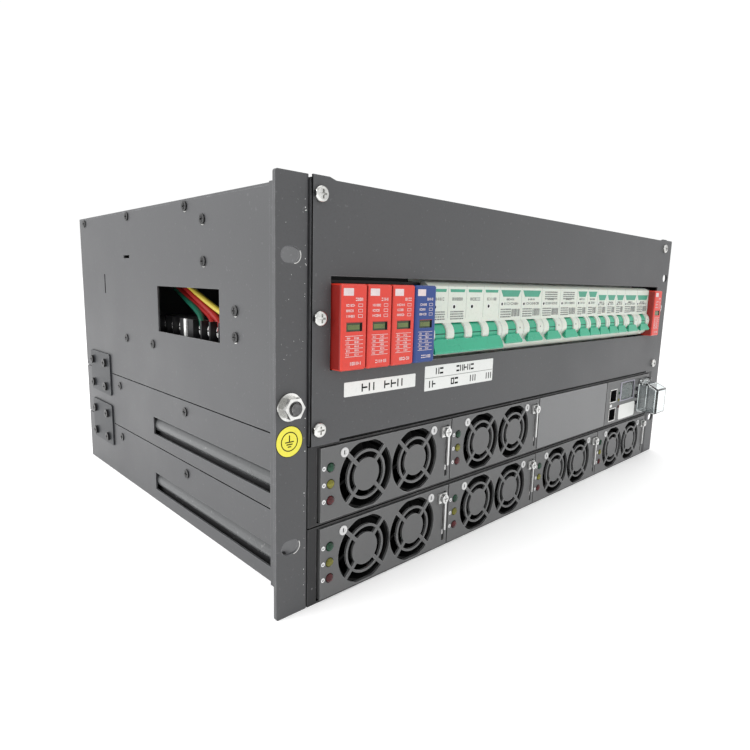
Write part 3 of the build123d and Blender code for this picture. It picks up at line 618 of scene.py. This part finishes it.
def add_paint_chips_and_highlights():
    """Chips along the left ear's bend, and bright rims at its slots and at the side screws as painted
    highlights.
    """
    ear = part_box("ear_left")[0]
    chips = Solids(Vector((0, ear.y, 0)))
    for _ in range(26):
        chips.disc(RNG.uniform(-224.6, -223.7), RNG.uniform(8.0, 212.0), RNG.uniform(0.12, 0.3), "label",
                   0.0, -0.03, 7)
    for _ in range(16):
        chips.disc(RNG.uniform(-239.0, -225.0), RNG.uniform(120.0, 215.0), RNG.uniform(0.08, 0.16), "label",
                   0.0, -0.03, 6)
    # Bright crescents at the ear's slots: painted highlights.
    for z in (37.7, 183.8):
        chips.arc(-230.8, z, 3.75, 4.15, -88, 32, "zinc", 0.0, -0.08)
    chips.piece("ear_chips_and_painted_highlights", CHASSIS)
    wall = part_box("distribution_chassis")[0]
    # Bright crescents beside the side screws: painted highlights.
    rims = Solids(Vector((wall.x, wall.y + 0.8 * MM, 0)), -90.0)
    for y, z in ((132.7, 217.0), (108.8, 207.6), (108.8, 182.2), (71.0, 153.6), (71.0, 138.2)):
        rims.arc(-y, z, 3.2, 3.75, 185, 300, "zinc", 0.0, -0.12)
    rims.piece("side_screw_painted_highlights", CHASSIS)


def print_cartridge(solids, left):
    """A surge cartridge's print and its indicator window, with painted shade along the window's right side
    and top.
    """
    finish = "surge_print"
    solids.block(left + 1.6, left + 8.2, 165.2, 168.9, finish)
    glyphs(solids, left + 9.6, left + 15.0, 163.4, 1.6, finish)
    for row in range(3):
        z = 160.4 - 2.7 * row
        glyphs(solids, left + 3.4, left + 9.6 - 1.2 * (row == 1), z, 1.25, finish)
        outer = rectangle(left + 11.4, left + 14.4, z - 0.8, z + 0.8)
        inner = rectangle(left + 11.6, left + 14.2, z - 0.6, z + 0.6)
        solids.frame(outer, inner, 0.0, -PRINT_PROUD, finish)
    solids.block(left + 3.75, left + 14.25, 147.35, 151.55, "pane", 0.85, 0.3)
    solids.block(left + 4.6, left + 12.6, 148.2, 150.6, "flag", 0.35, 0.24)
    # Painted shade: a black block down the window's right side and a dark red strip along its top.
    solids.block(left + 13.3, left + 14.25, 147.35, 151.55, "black_print", 0.3, -0.05)
    solids.block(left + 3.6, left + 14.4, 151.6, 151.95, "red_painted_shade", 0.0, -0.1)
    for row in range(6):
        low = 134.4 + 2.1 * row
        solids.block(left + 3.0, left + 15.0, low, low + 0.22, finish)
    for row in range(5):
        start = left + RNG.uniform(3.4, 4.2)
        glyphs(solids, start, start + 3.0, 135.5 + 2.1 * row, 1.0, finish)
        start = left + RNG.uniform(8.6, 9.6)
        glyphs(solids, start, start + 3.6, 135.5 + 2.1 * row, 1.0, finish)
    glyphs(solids, left + 6.2, left + 14.4, 130.9, 1.7, finish)


def add_cartridge_prints():
    row_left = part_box("spd_cartridges_red")[0].x / MM - 0.2
    row_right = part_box("spd_cartridges_red")[1].x / MM + 0.2
    prints = Solids(front_plane("spd_cartridges_red"))
    lefts = [row_left + CARTRIDGE_PITCH * column for column in range(4)]
    for left in (*lefts, row_right - CARTRIDGE_PITCH):
        print_cartridge(prints, left)
    prints.piece("cartridge_prints", CHASSIS)


def trapezoid(x, half_top, half_low, z0, z1):
    return [(x - half_low, z0), (x + half_low, z0), (x + half_top, z1), (x - half_top, z1)]


def main_pole_places():
    """Each pole's place along X from the middle of the main breaker."""
    return [POLE * (pole - (MAIN_POLES - 1) / 2) for pole in range(MAIN_POLES)]


def print_main_breaker(solids, toggle_x):
    for pole, place in enumerate(main_pole_places()):
        x = toggle_x + place
        solids.prism(trapezoid(x, 7.3, 6.8, 167.4, 169.2), 0.0, -PRINT_PROUD, "green_print")
        solids.ring(x - 3.0, 158.5, 1.5, 1.15, "white_print")
        solids.disc(x - 3.0, 158.5, 1.15, "black_print")
        solids.block(x + 8.9, x + 9.1, 151.5, 172.0, "pale_print")
        if pole < 2:
            print_lines(solids, x - 6.4, x + 6.6, 150.4, 156.2, 4, "grey_print")
        glyphs(solids, x - 5.0, x + 5.5, 163.2, 1.9, "grey_print")


def print_dc_breaker(solids, number, x, width):
    wide = width == WIDE
    half_top, half_low = (12.0, 9.2) if wide else (7.6, 5.2)
    lower = 2.7 if number >= 7 else 0.0
    if number in (3, 4):
        print_lines(solids, x - 9.0, x + 9.0, 162.5, 169.0, 4, "grey_print")
    else:
        band = trapezoid(x, half_top, half_low, 164.7 - lower, 169.2 - lower)
        solids.prism(band, 0.0, -PRINT_PROUD, "green_print")
    dot = x - width / 2 + 3.4
    solids.ring(dot, 159.8 - lower / 2, 1.4, 1.05, "white_print")
    solids.disc(dot, 159.8 - lower / 2, 1.05, "black_print")
    middle = x + (1.0 if wide else 0.5)
    print_lines(solids, x - width / 2 + 2.2, middle, 150.3, 157.0, 4, "grey_print")
    bar = middle + 0.9
    while bar < x + width / 2 - 2.0:
        thick = RNG.choice((0.25, 0.4, 0.6))
        solids.block(bar, bar + thick, 151.2, 156.4, "grey_print")
        bar += thick + RNG.choice((0.3, 0.45))
    glyphs(solids, dot + 2.6, x + width / 2 - 3.0, 160.0 - lower / 2, 1.7, "grey_print")
    glyphs(solids, x - 5.0, x + 5.0, 162.9 - lower, 1.3, "grey_print")
    solids.block(x + width / 2 - 0.1, x + width / 2 + 0.1, 150.8, 172.0, "pale_print")
    if wide:
        solids.disc(x + 9.2, 143.4, 0.6, "grey_print", -2.9, -3.12, 12)


def add_cheek_shade_line(solids, edge):
    """A painted shade line round the front of a cheek beside a toggle drum."""
    solids.hoop(edge, edge + 0.3, FACE_TO_TOGGLE, TOGGLE_Z, CHEEK_R - 0.1, CHEEK_R + 0.07, -48, 62,
                "pale_print")


def add_breaker_prints():
    axis = Vector(JOINTS["main_toggle_swing"]["pos_m"])
    prints = Solids(Vector((0, axis.y - FACE_TO_TOGGLE * MM, 0)))
    print_main_breaker(prints, axis.x / MM)
    for number, width in zip(DC_BREAKERS, DC_BREAKER_WIDTHS):
        x = JOINTS[f"dc_toggle_{number:02d}_swing"]["pos_m"][0] / MM
        print_dc_breaker(prints, number, x, width)
        for edge in (x - width / 2 + 0.6, x + CHEEK_EDGE):
            add_cheek_shade_line(prints, edge)
    for place in main_pole_places():
        add_cheek_shade_line(prints, axis.x / MM + place + CHEEK_EDGE)
    prints.piece("breaker_prints", CHASSIS)


def drum_marks(solids, x, half):
    """Fine painted shadow lines across the front of a toggle drum; x, y and z are from the toggle axis."""
    for z in (0.4, -2.2):
        y = -math.sqrt(DRUM_R ** 2 - z ** 2)
        solids.block(x - half, x + half, z - 0.3, z + 0.3, "green_line", y + 0.4, y - 0.06)


def add_toggle_marks():
    marks = Solids(JOINTS["main_toggle_swing"]["pos_m"])
    for place in main_pole_places():
        drum_marks(marks, place, DRUM_HALF)
    marks.piece("main_toggle_marks", "main_toggle")
    for number in DC_BREAKERS:
        name = f"dc_toggle_{number:02d}"
        marks = Solids(JOINTS[f"{name}_swing"]["pos_m"])
        drum_marks(marks, 0.0, DRUM_HALF)
        marks.piece(f"{name}_marks", name)


def add_rectifier_details(number):
    """Three lenses with their marks and painted shadow rings, and the two rivets above the fans."""
    body = f"rectifier_{number}"
    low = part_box(body)[0]
    face = Solids(Vector((low.x, low.y, low.z - MODULE_LOW * MM)))
    for height, finish in LED_HEIGHTS:
        face.dome(LED_OFFSET, height, 2.45, 1.3, 1.4, -0.1, finish)
        # A black ring round the lens: the shadow in its hole, painted.
        face.ring(LED_OFFSET, height, 2.75, 2.5, "inner", count=24)
        face.ring(2.1, height, 1.25, 0.7, "white_print", count=14)
        face.block(1.9, 2.3, height - 0.2, height + 1.3, "white_print", 0.0, -PRINT_PROUD * 1.5)
    for x in (15.85, 89.15):
        face.ring(x, 37.2, 2.7, 1.5, "rivet", 0.2, -0.45, 24)
        face.disc(x, 37.2, 1.5, "rivet", 0.2, -0.25, 24)
        face.block(x - 0.3, x + 0.3, 36.1, 38.3, "black_print", -0.2, -0.32)
    face.piece(f"{body}_lenses", body)


def add_socket_parts(face, low):
    """A modular socket's metal rim, eight contacts and the block that they stand on."""
    outer = rounded_outline(125.9, 140.1, low - 0.7, low + 11.9, 0.4, 2)
    inner = rounded_outline(126.7, 139.3, low + 0.1, low + 11.1, 0.2, 2)
    face.frame(outer, inner, 0.5, -0.3, "zinc")
    for contact in range(8):
        x = 129.4 + contact
        face.block(x, x + 0.35, low + 8.6, low + 9.0, "copper", 10.0, 3.0)
    face.block(129.0, 137.0, low + 9.0, low + 11.1, "black", 13.0, 2.6)


def add_controller_details():
    face = Solids(front_plane("controller_case", LUG_PROUD))
    for low in (UNIT + 4.4, UNIT + 22.4):
        add_socket_parts(face, low)
    face.block(126.8, 131.0, UNIT + 17.5, UNIT + 20.1, "label", 0.0, -0.5)
    for height, finish in ((16.0, "led_red"), (22.6, "led_yellow"), (29.2, "led_green")):
        face.dome(146.0, UNIT + height, 1.5, 0.9, 1.4, 0.0, finish, count=16)
    rim = rounded_outline(147.6, 179.0, UNIT + 20.8, UNIT + 39.4, 0.8, 3)
    bore = rounded_outline(150.1, 177.9, UNIT + 21.7, UNIT + 38.5, 0.4, 3)
    face.frame(rim, bore, 0.0, -0.35, "bezel")
    face.block(150.15, 177.85, UNIT + 21.75, UNIT + 38.45, "display", 1.05, 0.3)
    face.piece("controller_face_parts", "controller")
    label = Solids(front_plane("controller_case", LUG_PROUD))
    label.prism(rounded_outline(147.4, 184.0, UNIT + 2.8, UNIT + 17.2, 2.6), 0.0, -0.3, "label")
    for row in range(3):
        z = UNIT + 14.2 - 3.9 * row
        glyphs(label, 150.5, 181.0, z, 1.3, "pale_print")
    label.piece("controller_label", "controller")


def add_wiring():
    """Wires into the terminal block, given as (x, y, z) from the block's low left front corner."""
    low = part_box("terminal_block")[0]
    wires = Solids(low)
    runs = (("wire_yellow", 2.0, [(12, 103, 92), (11, 67, 78), (10, 42, 69.2), (9, 22, 63), (9, 3, 57),
                                  (10, -9, 48)]),
            ("wire_red", 2.4, [(14, 105, 91), (13, 81, 79), (12, 49, 66.4), (11, 23, 56.7), (8, 9, 51.5),
                               (6, 6.5, 47)]),
            ("wire_red", 2.2, [(16, 112, 88), (15, 88, 75), (14, 57, 62.5), (12, 32, 56.5), (8, 21, 52.5),
                               (6, 19, 47)]),
            ("wire_green", 2.3, [(17, 114, 82), (15, 91, 73), (13, 67, 64.6), (10, 44, 57.6), (7, 34, 52),
                                 (6, 31.5, 47)]))
    for finish, radius, points in runs:
        wires.tube(points, radius, finish)
    wires.piece("mains_wires", CHASSIS)


# Camera, light and floor

CAMERA_PLACE = (-0.388215, -0.386391, 0.171954)
CAMERA_AZIMUTH = -43.6244
CAMERA_ELEVATION = 9.3343
CAMERA_ROLL = 1.5045
CAMERA_LENS = 27.0035
SENSOR_WIDTH = 36.0


def add_camera():
    azimuth = math.radians(CAMERA_AZIMUTH)
    elevation = math.radians(CAMERA_ELEVATION)
    roll = math.radians(CAMERA_ROLL)
    back = Vector((math.sin(azimuth) * math.cos(elevation), -math.cos(azimuth) * math.cos(elevation),
                   math.sin(elevation)))
    right = (-back).cross(Vector((0, 0, 1))).normalized()
    up = right.cross(-back)
    turned_right = math.cos(roll) * right + math.sin(roll) * up
    turned_up = math.cos(roll) * up - math.sin(roll) * right
    data = bpy.data.cameras.new("camera")
    data.lens = CAMERA_LENS
    data.sensor_width = SENSOR_WIDTH
    data.clip_start = 0.01
    camera = bpy.data.objects.new("camera", data)
    camera.matrix_world = Matrix.Translation(CAMERA_PLACE) @ Matrix(
        (turned_right, turned_up, back)).transposed().to_4x4()
    bpy.context.scene.collection.objects.link(camera)
    bpy.context.scene.camera = camera


def add_softbox(name, place, target, size, watts):
    data = bpy.data.lights.new(name, "AREA")
    data.shape = "SQUARE"
    data.size = size
    data.energy = watts
    light = bpy.data.objects.new(name, data)
    light.location = place
    light.rotation_euler = (Vector(target) - Vector(place)).to_track_quat("-Z", "Y").to_euler()
    bpy.context.scene.collection.objects.link(light)


def add_stage():
    solids = bmesh.new()
    bmesh.ops.create_circle(solids, cap_ends=True, segments=64, radius=40.0)
    data = bpy.data.meshes.new("floor")
    solids.to_mesh(data)
    solids.free()
    data.materials.append(FINISH["floor"])
    floor = bpy.data.objects.new("floor", data)
    floor.location = (0, 0, -0.05 * MM)
    bpy.context.scene.collection.objects.link(floor)
    world = bpy.data.worlds.new("studio")
    world.use_nodes = True
    backdrop = world.node_tree.nodes["Background"]
    backdrop.inputs["Color"].default_value = (1.0, 1.0, 1.0, 1.0)
    backdrop.inputs["Strength"].default_value = 1.02
    bpy.context.scene.world = world
    add_softbox("left_softbox", (-1.7, 0.35, 0.8), (-0.2, 0, 0.1), 1.3, 26.0)
    add_softbox("front_softbox", (0.7, -1.7, 1.1), (0.1, -0.2, 0.1), 1.2, 2.5)
    add_softbox("top_softbox", (0.1, 0.3, 2.0), (0, 0, 0.1), 1.6, 10.0)
    bpy.context.scene.view_settings.view_transform = "Standard"


dress_enclosure()
dress_earth_stud()
dress_distribution()
dress_controller()
for number in RECTIFIERS:
    dress_rectifier(number)
add_panel_labels()
add_earth_label()
add_paint_chips_and_highlights()
add_cartridge_prints()
add_breaker_prints()
add_toggle_marks()
for number in RECTIFIERS:
    add_rectifier_details(number)
add_controller_details()
add_wiring()
add_camera()
add_stage()
